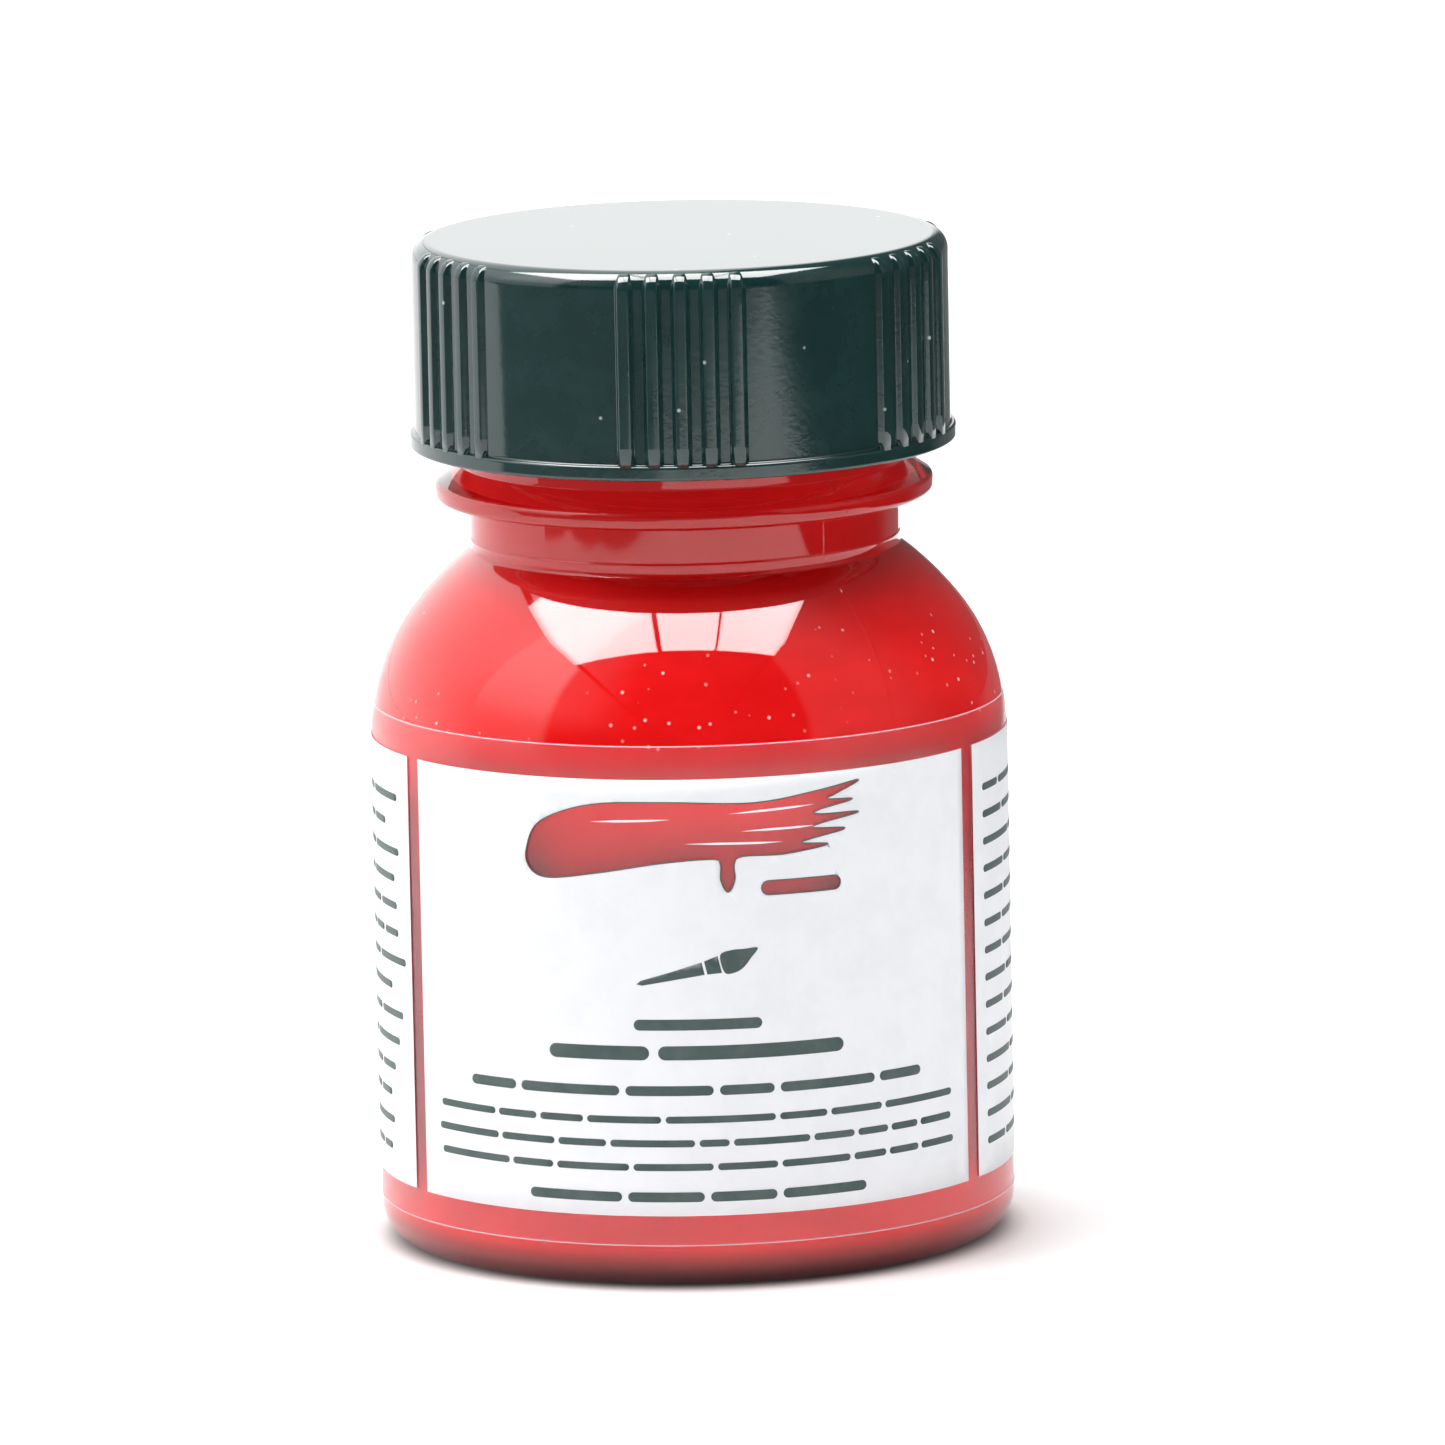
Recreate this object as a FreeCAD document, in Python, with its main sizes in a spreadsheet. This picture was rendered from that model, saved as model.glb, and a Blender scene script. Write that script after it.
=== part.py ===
import FreeCAD, Part
import math
import os
import Sketcher

# A one-ounce paint jar: a clear moulded jar with a screw neck, the paint in it, a film label round
# the straight wall, and a ribbed screw cap with its sealing liner. Millimetres, +Z up, the origin
# at the centre of the foot, the label's front towards -Y and its open seam towards +Y.
DIMENSIONS = [
    # The jar, a body of revolution.
    ("body_radius", 18.0),
    ("wall", 1.25),
    ("floor_thickness", 1.0),
    ("push_up", 0.7),
    ("foot_inner_radius", 13.0),
    ("heel_radius", 2.0),
    ("inner_heel_radius", 1.5),
    # The shoulder: two round stretches that run into each other.
    ("shoulder_start", 29.0),
    ("shoulder_low_radius", 11.6),
    ("shoulder_high_radius", 18.0),
    ("shoulder_turn", 38.0),
    ("neck_radius", 12.15),
    ("neck_root_fillet", 0.35),
    ("throat_fillet", 1.5),
    ("bore_radius", 10.6),
    # The handling bead under the cap, flat below and sloped above, and the screw finish over it.
    ("bead_radius", 14.1),
    ("bead_bottom", 42.35),
    ("bead_nose_radius", 0.4),
    ("bead_side", 0.35),
    ("bead_slope", 33.0),
    ("rim_height", 54.9),
    ("rim_edge_radius", 0.35),
    ("thread_pitch", 4.2333),
    ("thread_sink", 0.15),
    ("jar_thread_root_radius", 12.55),
    ("jar_thread_crest_radius", 13.7),
    ("jar_thread_base_width", 2.3),
    ("jar_thread_crest_width", 1.0),
    ("jar_thread_start", 47.3),
    ("jar_thread_turns", 1.2),
    # The paint: a still pool, and the coat that it leaves on the shoulder and the neck.
    ("paint_clearance", 0.05),
    ("paint_coat", 0.3),
    ("paint_level", 34.95),
    ("paint_coat_top", 53.6),
    # The label: clear film wrapped round the wall and a little way up the shoulder.
    ("label_bottom", 2.55),
    ("label_top", 30.9),
    ("label_thickness", 0.06),
    ("label_sweep", 352.0),
    # The cap.
    ("cap_radius", 15.17),
    ("cap_top", 57.1),
    ("cap_edge_radius", 1.0),
    ("cap_bottom", 45.4),
    ("cap_inner_radius", 13.95),
    ("flange_radius", 15.45),
    ("flange_top", 46.25),
    ("flange_edge", 0.15),
    ("cap_thread_crest_radius", 12.9),
    ("cap_thread_base_width", 2.0),
    ("cap_thread_crest_width", 0.8),
    ("cap_thread_turns", 1.1),
    ("thread_flank_gap", 0.3),
    # Grip ribs: groups of narrow ribs that fade out over the cap's top edge.
    ("rib_groups", 6),
    ("ribs_in_group", 5),
    ("rib_spacing", 6.0),
    ("rib_height", 0.28),
    ("rib_base_width", 0.95),
    ("rib_crest_width", 0.6),
    ("rib_crest_radius", 0.4),
    ("rib_end_radius", 0.6),
    ("rib_end_turn", 85.0),
    # The liner between the cap's underside and the rim.
    ("liner_radius", 13.75),
    ("liner_thickness", 0.9),
]
FULL_TURN = 360

doc = FreeCAD.newDocument("paint_jar")
dim = doc.addObject("Spreadsheet::Sheet", "dim")
for row, (alias, value) in enumerate(DIMENSIONS, 1):
    dim.set("A%d" % row, alias)
    dim.set("B%d" % row, str(value))
    dim.setAlias("B%d" % row, alias)
doc.recompute()


def number(expression):
    """The value of a sheet expression, in millimetres or degrees."""
    return float(dim.evalExpression(expression))


def plane(body, role):
    """One of a body's own origin planes or axes, by its role."""
    for feature in body.Origin.OriginFeatures:
        if feature.Role == role:
            return feature
    raise ValueError("no origin feature " + role)


def new_body(name):
    body = doc.addObject("PartDesign::Body", name)
    body.Label = name
    return body


def arc_between(start, end, radius):
    """A round stretch from start to end, and whether it runs backwards: a positive radius turns left."""
    chord = end - start
    rise = math.sqrt(max(radius * radius - chord.Length * chord.Length / 4, 0))
    left = FreeCAD.Vector(-chord.y, chord.x, 0).normalize()
    centre = (start + end) / 2 + left * math.copysign(rise, radius)
    circle = Part.Circle(centre, FreeCAD.Vector(0, 0, 1), abs(radius))
    backwards = radius < 0
    first, last = (end, start) if backwards else (start, end)
    first_angle = math.atan2(first.y - centre.y, first.x - centre.x)
    last_angle = math.atan2(last.y - centre.y, last.x - centre.x)
    return Part.ArcOfCircle(circle, first_angle, last_angle), backwards


def hold_point(sketch, geometry, end, across, up):
    """Bind a point of the sketch to two sheet expressions, measured from the sketch's origin."""
    for expression, axis, kind in ((across, -2, "DistanceX"), (up, -1, "DistanceY")):
        if number(expression) == 0:
            sketch.addConstraint(Sketcher.Constraint("PointOnObject", geometry, end, axis))
            continue
        index = sketch.addConstraint(
            Sketcher.Constraint(kind, -1, 1, geometry, end, number(expression)))
        sketch.setExpression("Constraints[%d]" % index, expression)


def outline(body, name, corners, role="YZ_Plane", turned=0.0, closed=True):
    """A sketch of straight and round stretches, with every size bound to the sheet.

    A corner is (across, up) or (across, up, radius). The radius belongs to the round stretch that
    leads on to the next corner, and is negative where that stretch turns right. The sketch's plane
    is turned about the jar's axis by the angle given.
    """
    sketch = body.newObject("Sketcher::SketchObject", name)
    sketch.AttachmentSupport = [(plane(body, role), "")]
    sketch.MapMode = "FlatFace"
    jar_axis = FreeCAD.Vector(0, 0, 1) if role == "XY_Plane" else FreeCAD.Vector(0, 1, 0)
    sketch.AttachmentOffset = FreeCAD.Placement(FreeCAD.Vector(), FreeCAD.Rotation(jar_axis, turned))
    points = [FreeCAD.Vector(number(corner[0]), number(corner[1]), 0) for corner in corners]
    stretches = len(corners) if closed else len(corners) - 1
    last_end = None
    for index in range(stretches):
        corner = corners[index]
        start = points[index]
        end = points[(index + 1) % len(points)]
        backwards = False
        if len(corner) == 3:
            shape, backwards = arc_between(start, end, number(corner[2]))
            geometry = sketch.addGeometry(shape)
            held = sketch.addConstraint(
                Sketcher.Constraint("Radius", geometry, abs(number(corner[2]))))
            sketch.setExpression("Constraints[%d]" % held, corner[2].lstrip("-"))
        else:
            geometry = sketch.addGeometry(Part.LineSegment(start, end))
        first, last = (2, 1) if backwards else (1, 2)
        hold_point(sketch, geometry, first, corner[0], corner[1])
        if last_end is not None:
            sketch.addConstraint(
                Sketcher.Constraint("Coincident", last_end[0], last_end[1], geometry, first))
        if index == 0:
            opening = (geometry, first)
        last_end = (geometry, last)
    if closed:
        sketch.addConstraint(Sketcher.Constraint("Coincident", *last_end, *opening))
    else:
        hold_point(sketch, *last_end, corners[-1][0], corners[-1][1])
    return sketch


def turn(body, name, sketch, kind="PartDesign::Revolution"):
    """Revolve an outline about the jar's axis, adding or cutting."""
    feature = body.newObject(kind, name)
    feature.Profile = sketch
    feature.ReferenceAxis = (sketch, ["V_Axis"])
    feature.Angle = FULL_TURN
    doc.recompute()
    return feature


def cut_inside(body, name, sketch):
    """Turn away the inside of a body, and make sure that something was cut."""
    before = body.Shape.Volume
    groove = turn(body, name, sketch, "PartDesign::Groove")
    if body.Shape.Volume > before - 1:
        raise ValueError(name + " cut nothing")
    return groove


def wind(body, name, sketch, turns):
    """Wind a thread's section up the jar's axis, right-handed."""
    helix = body.newObject("PartDesign::AdditiveHelix", name)
    helix.Profile = sketch
    helix.ReferenceAxis = (sketch, ["V_Axis"])
    helix.Mode = "pitch-height-angle"
    helix.setExpression("Pitch", "dim.thread_pitch")
    helix.setExpression("Height", "dim.thread_pitch * " + turns)
    doc.recompute()
    return helix


def round_edge(body, name, radius, circle_radius, circle_height):
    """Round the circular edge of the given radius and height."""
    base = body.Tip
    found = []
    for index, edge in enumerate(base.Shape.Edges, 1):
        if edge.Degenerated or edge.Curve.TypeId != "Part::GeomCircle":
            continue
        curve = edge.Curve
        off_radius = abs(curve.Radius - number(circle_radius))
        off_height = abs(curve.Center.z - number(circle_height))
        if max(off_radius, off_height) < 0.01:
            found.append("Edge%d" % index)
    if not found:
        raise ValueError(name + " found no edge")
    fillet = body.newObject("PartDesign::Fillet", name)
    fillet.Base = (base, found)
    fillet.setExpression("Radius", radius)
    doc.recompute()
    return fillet


def shoulder(inset):
    """The two round stretches of the shoulder, moved in by a thickness: start, join and centre values."""
    low_centre = "(dim.body_radius - dim.shoulder_low_radius)"
    low = "(dim.shoulder_low_radius - (%s))" % inset
    high = "(dim.shoulder_high_radius - (%s))" % inset
    angle = "(dim.shoulder_turn * 1 deg)"
    start = ("dim.body_radius - (%s)" % inset, "dim.shoulder_start")
    join = ("%s + %s * cos%s" % (low_centre, low, angle),
            "dim.shoulder_start + %s * sin%s" % (low, angle))
    apart = "(dim.shoulder_low_radius - dim.shoulder_high_radius)"
    high_centre = ("(%s + %s * cos%s)" % (low_centre, apart, angle),
                   "(dim.shoulder_start + %s * sin%s)" % (apart, angle))
    return start, join, low, high, high_centre


def height_on_arc(centre, radius, across):
    """Where a round stretch passes a given distance from the jar's axis."""
    return "%s + sqrt(%s ^ 2 - (%s - %s) ^ 2)" % (centre[1], radius, across, centre[0])


def dome_radius(rise, reach):
    """The radius of a shallow dome from its rise and its reach."""
    return "(({0}) ^ 2 + ({1}) ^ 2) / (2 * ({0}))".format(rise, reach)


def make_jar():
    """The clear jar: outside turned, inside turned away, neck blended, thread wound on."""
    body = new_body("jar")
    start, join, low, high, high_centre = shoulder("0")
    neck_foot = height_on_arc(high_centre, high, "dim.neck_radius")
    bead_edge = "(dim.bead_bottom + dim.bead_nose_radius + dim.bead_side)"
    slope = "(dim.bead_slope * 1 deg)"
    slope_radius = "(dim.bead_radius - dim.bead_nose_radius * (1 - sin%s))" % slope
    slope_height = "(%s + dim.bead_nose_radius * cos%s)" % (bead_edge, slope)
    outside = outline(body, "jar_outside", [
        ("0", "dim.push_up", "-" + dome_radius("dim.push_up", "dim.foot_inner_radius")),
        ("dim.foot_inner_radius", "0"),
        ("dim.body_radius - dim.heel_radius", "0", "dim.heel_radius"),
        ("dim.body_radius", "dim.heel_radius"),
        start + (low,),
        join + (high,),
        ("dim.neck_radius", neck_foot),
        ("dim.neck_radius", "dim.bead_bottom"),
        ("dim.bead_radius - dim.bead_nose_radius", "dim.bead_bottom", "dim.bead_nose_radius"),
        ("dim.bead_radius", "dim.bead_bottom + dim.bead_nose_radius"),
        ("dim.bead_radius", bead_edge, "dim.bead_nose_radius"),
        (slope_radius, slope_height),
        ("dim.jar_thread_root_radius",
         "%s + (%s - dim.jar_thread_root_radius) * tan%s" % (slope_height, slope_radius, slope)),
        ("dim.jar_thread_root_radius", "dim.rim_height"),
        ("0", "dim.rim_height"),
    ])
    turn(body, "jar_blank", outside)
    round_edge(body, "neck_root", "dim.neck_root_fillet", "dim.neck_radius", neck_foot)
    round_edge(body, "rim_edge", "dim.rim_edge_radius", "dim.jar_thread_root_radius",
               "dim.rim_height")

    inner_start, inner_join, inner_low, inner_high, centre = shoulder("dim.wall")
    inner_radius = "(dim.body_radius - dim.wall)"
    throat = height_on_arc(centre, inner_high, "dim.bore_radius")
    inside = outline(body, "jar_inside", [
        ("0", "dim.push_up + dim.floor_thickness",
         "-" + dome_radius("dim.push_up", "dim.foot_inner_radius")),
        ("dim.foot_inner_radius", "dim.floor_thickness"),
        (inner_radius + " - dim.inner_heel_radius", "dim.floor_thickness", "dim.inner_heel_radius"),
        (inner_radius, "dim.floor_thickness + dim.inner_heel_radius"),
        inner_start + (inner_low,),
        inner_join + (inner_high,),
        ("dim.bore_radius", throat),
        ("dim.bore_radius", "dim.rim_height"),
        ("0", "dim.rim_height"),
    ])
    cut_inside(body, "jar_hollow", inside)
    round_edge(body, "throat", "dim.throat_fillet", "dim.bore_radius", throat)

    section = outline(body, "jar_thread_section", thread_section(
        "dim.jar_thread_root_radius - dim.thread_sink", "dim.jar_thread_crest_radius",
        "dim.jar_thread_base_width", "dim.jar_thread_crest_width", "dim.jar_thread_start"))
    wind(body, "jar_thread", section, "dim.jar_thread_turns")
    return body


def thread_section(base_radius, crest_radius, base_width, crest_width, middle):
    """The four corners of a thread, from its base to its crest."""
    return [
        (base_radius, "%s - %s / 2" % (middle, base_width)),
        (crest_radius, "%s - %s / 2" % (middle, crest_width)),
        (crest_radius, "%s + %s / 2" % (middle, crest_width)),
        (base_radius, "%s + %s / 2" % (middle, base_width)),
    ]


def make_paint():
    """The paint: a pool in the jar, with its coat running up the shoulder and the neck."""
    body = new_body("paint")
    outer = "dim.wall + dim.paint_clearance"
    inner = outer + " + dim.paint_coat"
    start, join, low, high, centre = shoulder(outer)
    _, coat_join, coat_low, coat_high, _ = shoulder(inner)
    outer_bore = "(dim.bore_radius - dim.paint_clearance)"
    inner_bore = "(%s - dim.paint_coat)" % outer_bore
    low_centre = ("(dim.body_radius - dim.shoulder_low_radius)", "dim.shoulder_start")
    level_radius = "%s + sqrt(%s ^ 2 - (dim.paint_level - %s) ^ 2)" % (
        low_centre[0], coat_low, low_centre[1])
    floor = "(dim.floor_thickness + dim.paint_clearance)"
    wall_radius = "(dim.body_radius - (%s))" % outer
    section = outline(body, "paint_section", [
        ("0", floor + " + dim.push_up", "-" + dome_radius("dim.push_up", "dim.foot_inner_radius")),
        ("dim.foot_inner_radius", floor),
        (wall_radius + " - dim.inner_heel_radius", floor, "dim.inner_heel_radius"),
        (wall_radius, floor + " + dim.inner_heel_radius"),
        start + (low,),
        join + (high,),
        (outer_bore, height_on_arc(centre, high, outer_bore)),
        (outer_bore, "dim.paint_coat_top"),
        (inner_bore, "dim.paint_coat_top"),
        (inner_bore, height_on_arc(centre, coat_high, inner_bore), "-" + coat_high),
        coat_join + ("-" + coat_low,),
        (level_radius, "dim.paint_level"),
        ("0", "dim.paint_level"),
    ])
    turn(body, "paint_fill", section)
    round_edge(body, "paint_throat", "dim.throat_fillet", outer_bore,
               height_on_arc(centre, high, outer_bore))
    return body


def make_label():
    """The label: one strip of film bent round the jar, its two ends a little apart at the back."""
    body = new_body("label")
    start, _, low, _, _ = shoulder("0")
    _, _, outer_low, _, _ = shoulder("-dim.label_thickness")
    low_centre = "(dim.body_radius - dim.shoulder_low_radius)"
    rise = "(dim.label_top - dim.shoulder_start)"
    top_radius = "%s + sqrt(%s ^ 2 - %s ^ 2)"
    outer_radius = "dim.body_radius + dim.label_thickness"
    seam = (FULL_TURN - number("dim.label_sweep")) / 2
    section = outline(body, "label_section", [
        ("dim.body_radius", "dim.label_bottom"),
        (outer_radius, "dim.label_bottom"),
        (outer_radius, "dim.shoulder_start", outer_low),
        (top_radius % (low_centre, outer_low, rise), "dim.label_top"),
        (top_radius % (low_centre, low, rise), "dim.label_top", "-" + low),
        start,
    ], turned=seam)
    film = turn(body, "label_film", section)
    film.setExpression("Angle", "dim.label_sweep")
    return body


def make_cap():
    """The cap: a turned shell with a flange, its thread wound inside, and six groups of ribs."""
    body = new_body("cap")
    underside = "dim.rim_height + dim.liner_thickness"
    shell = outline(body, "cap_section", [
        ("0", underside),
        ("dim.cap_inner_radius", underside),
        ("dim.cap_inner_radius", "dim.cap_bottom"),
        ("dim.flange_radius - dim.flange_edge", "dim.cap_bottom", "dim.flange_edge"),
        ("dim.flange_radius", "dim.cap_bottom + dim.flange_edge"),
        ("dim.flange_radius", "dim.flange_top - dim.flange_edge", "dim.flange_edge"),
        ("dim.flange_radius - dim.flange_edge", "dim.flange_top"),
        ("dim.cap_radius", "dim.flange_top"),
        ("dim.cap_radius", "dim.cap_top - dim.cap_edge_radius", "dim.cap_edge_radius"),
        ("dim.cap_radius - dim.cap_edge_radius", "dim.cap_top"),
        ("0", "dim.cap_top"),
    ])
    turn(body, "cap_shell", shell)

    # The cap's thread lies under the jar's, a flank gap away, and starts half a turn further on.
    drop = ("((dim.jar_thread_base_width + dim.cap_thread_crest_width) / 2 + dim.thread_flank_gap"
            " - dim.thread_pitch / 2)")
    section = outline(body, "cap_thread_section", thread_section(
        "dim.cap_inner_radius + dim.thread_sink", "dim.cap_thread_crest_radius",
        "dim.cap_thread_base_width", "dim.cap_thread_crest_width",
        "dim.jar_thread_start - " + drop), turned=FULL_TURN / 2)
    wind(body, "cap_thread", section, "dim.cap_thread_turns")
    add_ribs(body)
    return body


def add_ribs(body):
    """One rib drawn along its path, repeated across its group and then round the cap."""
    group_half = number("dim.rib_spacing * (dim.ribs_in_group - 1) / 2")
    bend_start = "(dim.cap_top - dim.cap_edge_radius)"
    bend_centre = "(dim.cap_radius - dim.rib_end_radius)"
    end_turn = "(dim.rib_end_turn * 1 deg)"
    path = outline(body, "rib_path", [
        ("dim.cap_radius", "dim.flange_top - dim.flange_edge"),
        ("dim.cap_radius", bend_start, "dim.rib_end_radius"),
        (bend_centre + " + dim.rib_end_radius * cos" + end_turn,
         bend_start + " + dim.rib_end_radius * sin" + end_turn),
    ], turned=-group_half, closed=False)
    crest_rise = "(dim.rib_crest_radius - sqrt(dim.rib_crest_radius ^ 2 - dim.rib_crest_width ^ 2 / 4))"
    crest_edge = "dim.cap_radius + dim.rib_height - " + crest_rise
    base = "dim.cap_radius - dim.thread_sink"
    section = outline(body, "rib_section", [
        ("-dim.rib_base_width / 2", base),
        ("dim.rib_base_width / 2", base),
        ("dim.rib_crest_width / 2", crest_edge, "dim.rib_crest_radius"),
        ("-dim.rib_crest_width / 2", crest_edge),
    ], role="XY_Plane", turned=-group_half)
    lift = FreeCAD.Vector(0, 0, number("dim.flange_top - dim.flange_edge"))
    section.AttachmentOffset = FreeCAD.Placement(lift, section.AttachmentOffset.Rotation)
    section.setExpression("AttachmentOffset.Base.z", "dim.flange_top - dim.flange_edge")
    doc.recompute()
    rib = body.newObject("PartDesign::AdditivePipe", "rib")
    rib.Profile = section
    rib.Spine = (path, ["Edge1", "Edge2"])
    doc.recompute()

    across_group = body.newObject("PartDesign::MultiTransform", "ribs")
    across_group.Originals = [rib]
    in_group = doc.addObject("PartDesign::PolarPattern", "ribs_in_group")
    in_group.Axis = (plane(body, "Z_Axis"), [""])
    in_group.setExpression("Angle", "dim.rib_spacing * (dim.ribs_in_group - 1)")
    in_group.setExpression("Occurrences", "dim.ribs_in_group")
    groups = doc.addObject("PartDesign::PolarPattern", "groups_round_cap")
    groups.Axis = (plane(body, "Z_Axis"), [""])
    groups.Angle = FULL_TURN
    groups.setExpression("Occurrences", "dim.rib_groups")
    body.addObject(in_group)
    body.addObject(groups)
    across_group.Transformations = [in_group, groups]
    body.Tip = across_group
    doc.recompute()


def make_liner():
    """The sealing liner: a flat disc between the cap's underside and the jar's rim."""
    disc = doc.addObject("Part::Cylinder", "cap_liner")
    disc.Label = "cap_liner"
    disc.setExpression("Radius", "dim.liner_radius")
    disc.setExpression("Height", "dim.liner_thickness")
    disc.setExpression("Placement.Base.z", "dim.rim_height")
    return disc


pieces = [make_jar(), make_paint(), make_label(), make_cap(), make_liner()]
doc.recompute()

for item in doc.Objects:
    if "Invalid" in item.State or "Error" in item.State:
        raise RuntimeError("%s did not build: %s" % (item.Label, item.State))
os.makedirs("parts", exist_ok=True)
for piece in pieces:
    if piece.Shape.isNull() or not piece.Shape.isValid():
        raise RuntimeError(piece.Label + " has no valid shape")
for piece in pieces:
    piece.Shape.exportStep("parts/%s.step" % piece.Label)
    print("%-10s %2d solid  %9.2f mm3" % (piece.Label, len(piece.Shape.Solids), piece.Shape.Volume))
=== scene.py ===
import math
import random

import bmesh
import bpy
from mathutils import Euler, Matrix, Vector, noise


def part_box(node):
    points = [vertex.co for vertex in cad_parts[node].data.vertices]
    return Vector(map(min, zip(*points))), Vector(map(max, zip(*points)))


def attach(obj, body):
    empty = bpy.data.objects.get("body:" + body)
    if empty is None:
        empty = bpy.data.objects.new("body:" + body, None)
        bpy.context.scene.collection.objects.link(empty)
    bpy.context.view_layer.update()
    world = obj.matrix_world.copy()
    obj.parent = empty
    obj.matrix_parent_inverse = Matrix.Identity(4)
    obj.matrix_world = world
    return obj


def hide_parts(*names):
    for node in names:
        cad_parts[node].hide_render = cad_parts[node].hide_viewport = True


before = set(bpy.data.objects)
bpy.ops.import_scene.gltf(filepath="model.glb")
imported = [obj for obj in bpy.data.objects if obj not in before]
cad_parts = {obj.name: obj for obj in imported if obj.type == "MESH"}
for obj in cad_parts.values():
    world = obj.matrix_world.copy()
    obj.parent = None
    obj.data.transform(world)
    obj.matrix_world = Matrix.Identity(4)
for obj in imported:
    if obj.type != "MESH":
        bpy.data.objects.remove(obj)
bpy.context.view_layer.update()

MM = 0.001


# ---------------------------------------------------------------- The jar
# One clear plastic moulding, glossy inside and out: foot, wall, rounded shoulder, neck, handling
# bead, one-start screw thread and rim. Its two mould halves leave a fine parting line up each side.

body_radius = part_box("jar")[1].x / MM
rim_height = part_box("jar")[1].z / MM
wall = 1.25
floor_thickness = 1.0
push_up = 0.7
foot_inner_radius = 13.0
heel_radius = 2.0
inner_heel_radius = 1.5
shoulder_start = 29.0
low_arc_radius = 11.6
high_arc_radius = 18.0
shoulder_turn = 38.0
neck_radius = 12.15
neck_root_fillet = 0.35
throat_fillet = 1.5
bore_radius = 10.6
bead_radius = 14.1
bead_bottom = 42.35
bead_nose = 0.4
bead_side = 0.35
bead_slope = 33.0
neck_ring_height = 40.12
thread_root_radius = 12.55
thread_height = 1.15
thread_pitch = 4.2333
thread_start = 47.3
thread_turns = 1.2
parting_angle = math.radians(-50)
parting_height = 0.022
parting_width = 0.075

low_centre = (body_radius - low_arc_radius, shoulder_start)
arc_gap = low_arc_radius - high_arc_radius
high_centre = (low_centre[0] + arc_gap * math.cos(math.radians(shoulder_turn)),
               low_centre[1] + arc_gap * math.sin(math.radians(shoulder_turn)))


def arc(centre, radius, first, last, steps):
    """Points of a round stretch of a profile, between two angles in degrees."""
    points = []
    for step in range(steps + 1):
        angle = math.radians(first + (last - first) * step / steps)
        points.append((centre[0] + radius * math.cos(angle), centre[1] + radius * math.sin(angle)))
    return points


def rise(radius, low, high, spacing):
    """Evenly spaced points up or down a straight wall."""
    steps = max(1, round(abs(high - low) / spacing))
    return [(radius, low + (high - low) * step / steps) for step in range(steps + 1)]


def dome(reach, height, lift, steps=10):
    """A shallow dome, from the axis out to its edge."""
    curve = (height ** 2 + reach ** 2) / (2 * height)
    points = []
    for step in range(steps + 1):
        across = reach * step / steps
        points.append((across, lift + height - curve + math.sqrt(curve ** 2 - across ** 2)))
    return points


def shoulder(offset, straight_radius, fillet):
    """The shoulder's two arcs and the hollow corner that leads up into a straight neck or bore."""
    high = high_arc_radius + offset
    corner = (straight_radius + fillet,
              high_centre[1] + math.sqrt((high + fillet) ** 2
                                         - (straight_radius + fillet - high_centre[0]) ** 2))
    meet = math.degrees(math.atan2(corner[1] - high_centre[1], corner[0] - high_centre[0]))
    return (arc(low_centre, low_arc_radius + offset, 0, shoulder_turn, 30)
            + arc(high_centre, high, shoulder_turn, meet, 14)[1:]
            + arc(corner, fillet, meet - 180, -180, 8)[1:])


def jar_inside(grow, top):
    """The inside of the jar from the middle of the floor up to a height, grown into the plastic."""
    radius = body_radius - wall
    floor = dome(foot_inner_radius, push_up, floor_thickness - grow)
    heel_centre = (radius - inner_heel_radius, floor_thickness + inner_heel_radius)
    throat = throat_fillet - grow
    return (floor + arc(heel_centre, inner_heel_radius + grow, -90, 0, 8)
            + rise(radius + grow, heel_centre[1], shoulder_start, 3.0)[1:-1]
            + shoulder(grow - wall, bore_radius + grow, throat)
            + [(bore_radius + grow, top)])


def jar_outside():
    """The outside of the jar from the middle of the foot up to the rim."""
    rim_edge = 0.35
    crook = 0.15
    foot = dome(foot_inner_radius, push_up, 0)
    heel = arc((body_radius - heel_radius, heel_radius), heel_radius, -90, 0, 12)
    wall_line = rise(body_radius, heel_radius, shoulder_start, 3.0)[1:-1]
    neck_ring = [(neck_radius + out, neck_ring_height + up)
                 for out, up in ((0, -0.09), (0.05, -0.03), (0.05, 0.03), (0, 0.09))]
    nose_middle = (bead_radius - bead_nose, bead_bottom + bead_nose)
    nose_top = (nose_middle[0], nose_middle[1] + bead_side)
    bead = (arc((neck_radius + crook, bead_bottom - crook), crook, 180, 90, 4)
            + arc(nose_middle, bead_nose, -90, 0, 8)
            + arc(nose_top, bead_nose, 0, 90 - bead_slope, 8))
    slope_end = bead[-1]
    run = slope_end[0] - thread_root_radius
    corner_height = slope_end[1] + run * math.tan(math.radians(bead_slope))
    turn = 90 - bead_slope
    hollow = (thread_root_radius + crook, corner_height + crook * math.tan(math.radians(turn / 2)))
    finish_foot = arc(hollow, crook, 180 + turn, 180, 4)
    finish = rise(thread_root_radius, hollow[1], rim_height - rim_edge, 0.13)[1:-1]
    rim = arc((thread_root_radius - rim_edge, rim_height - rim_edge), rim_edge, 0, 90, 6)
    return (foot + heel + wall_line + shoulder(0, neck_radius, neck_root_fillet) + neck_ring
            + bead + finish_foot + finish + rim)


def on_thread(angle, height, first_angle, start, turns, base_width, crest_width):
    """How much of its full height a thread has at a place, from 0 to 1; its ends fade out."""
    fade = math.radians(25)
    around = (angle - first_angle) % math.tau
    most = 0.0
    while around < turns * math.tau:
        off = abs(height - start - thread_pitch * around / math.tau)
        flank = (base_width / 2 - off) / (base_width / 2 - crest_width / 2)
        ends = min(around, turns * math.tau - around) / fade
        most = max(most, smooth(flank) * smooth(ends))
        around += math.tau
    return most


def smooth(value):
    """0 below 0, 1 above 1, and an even ease between."""
    value = min(max(value, 0.0), 1.0)
    return value * value * (3 - 2 * value)


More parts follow.
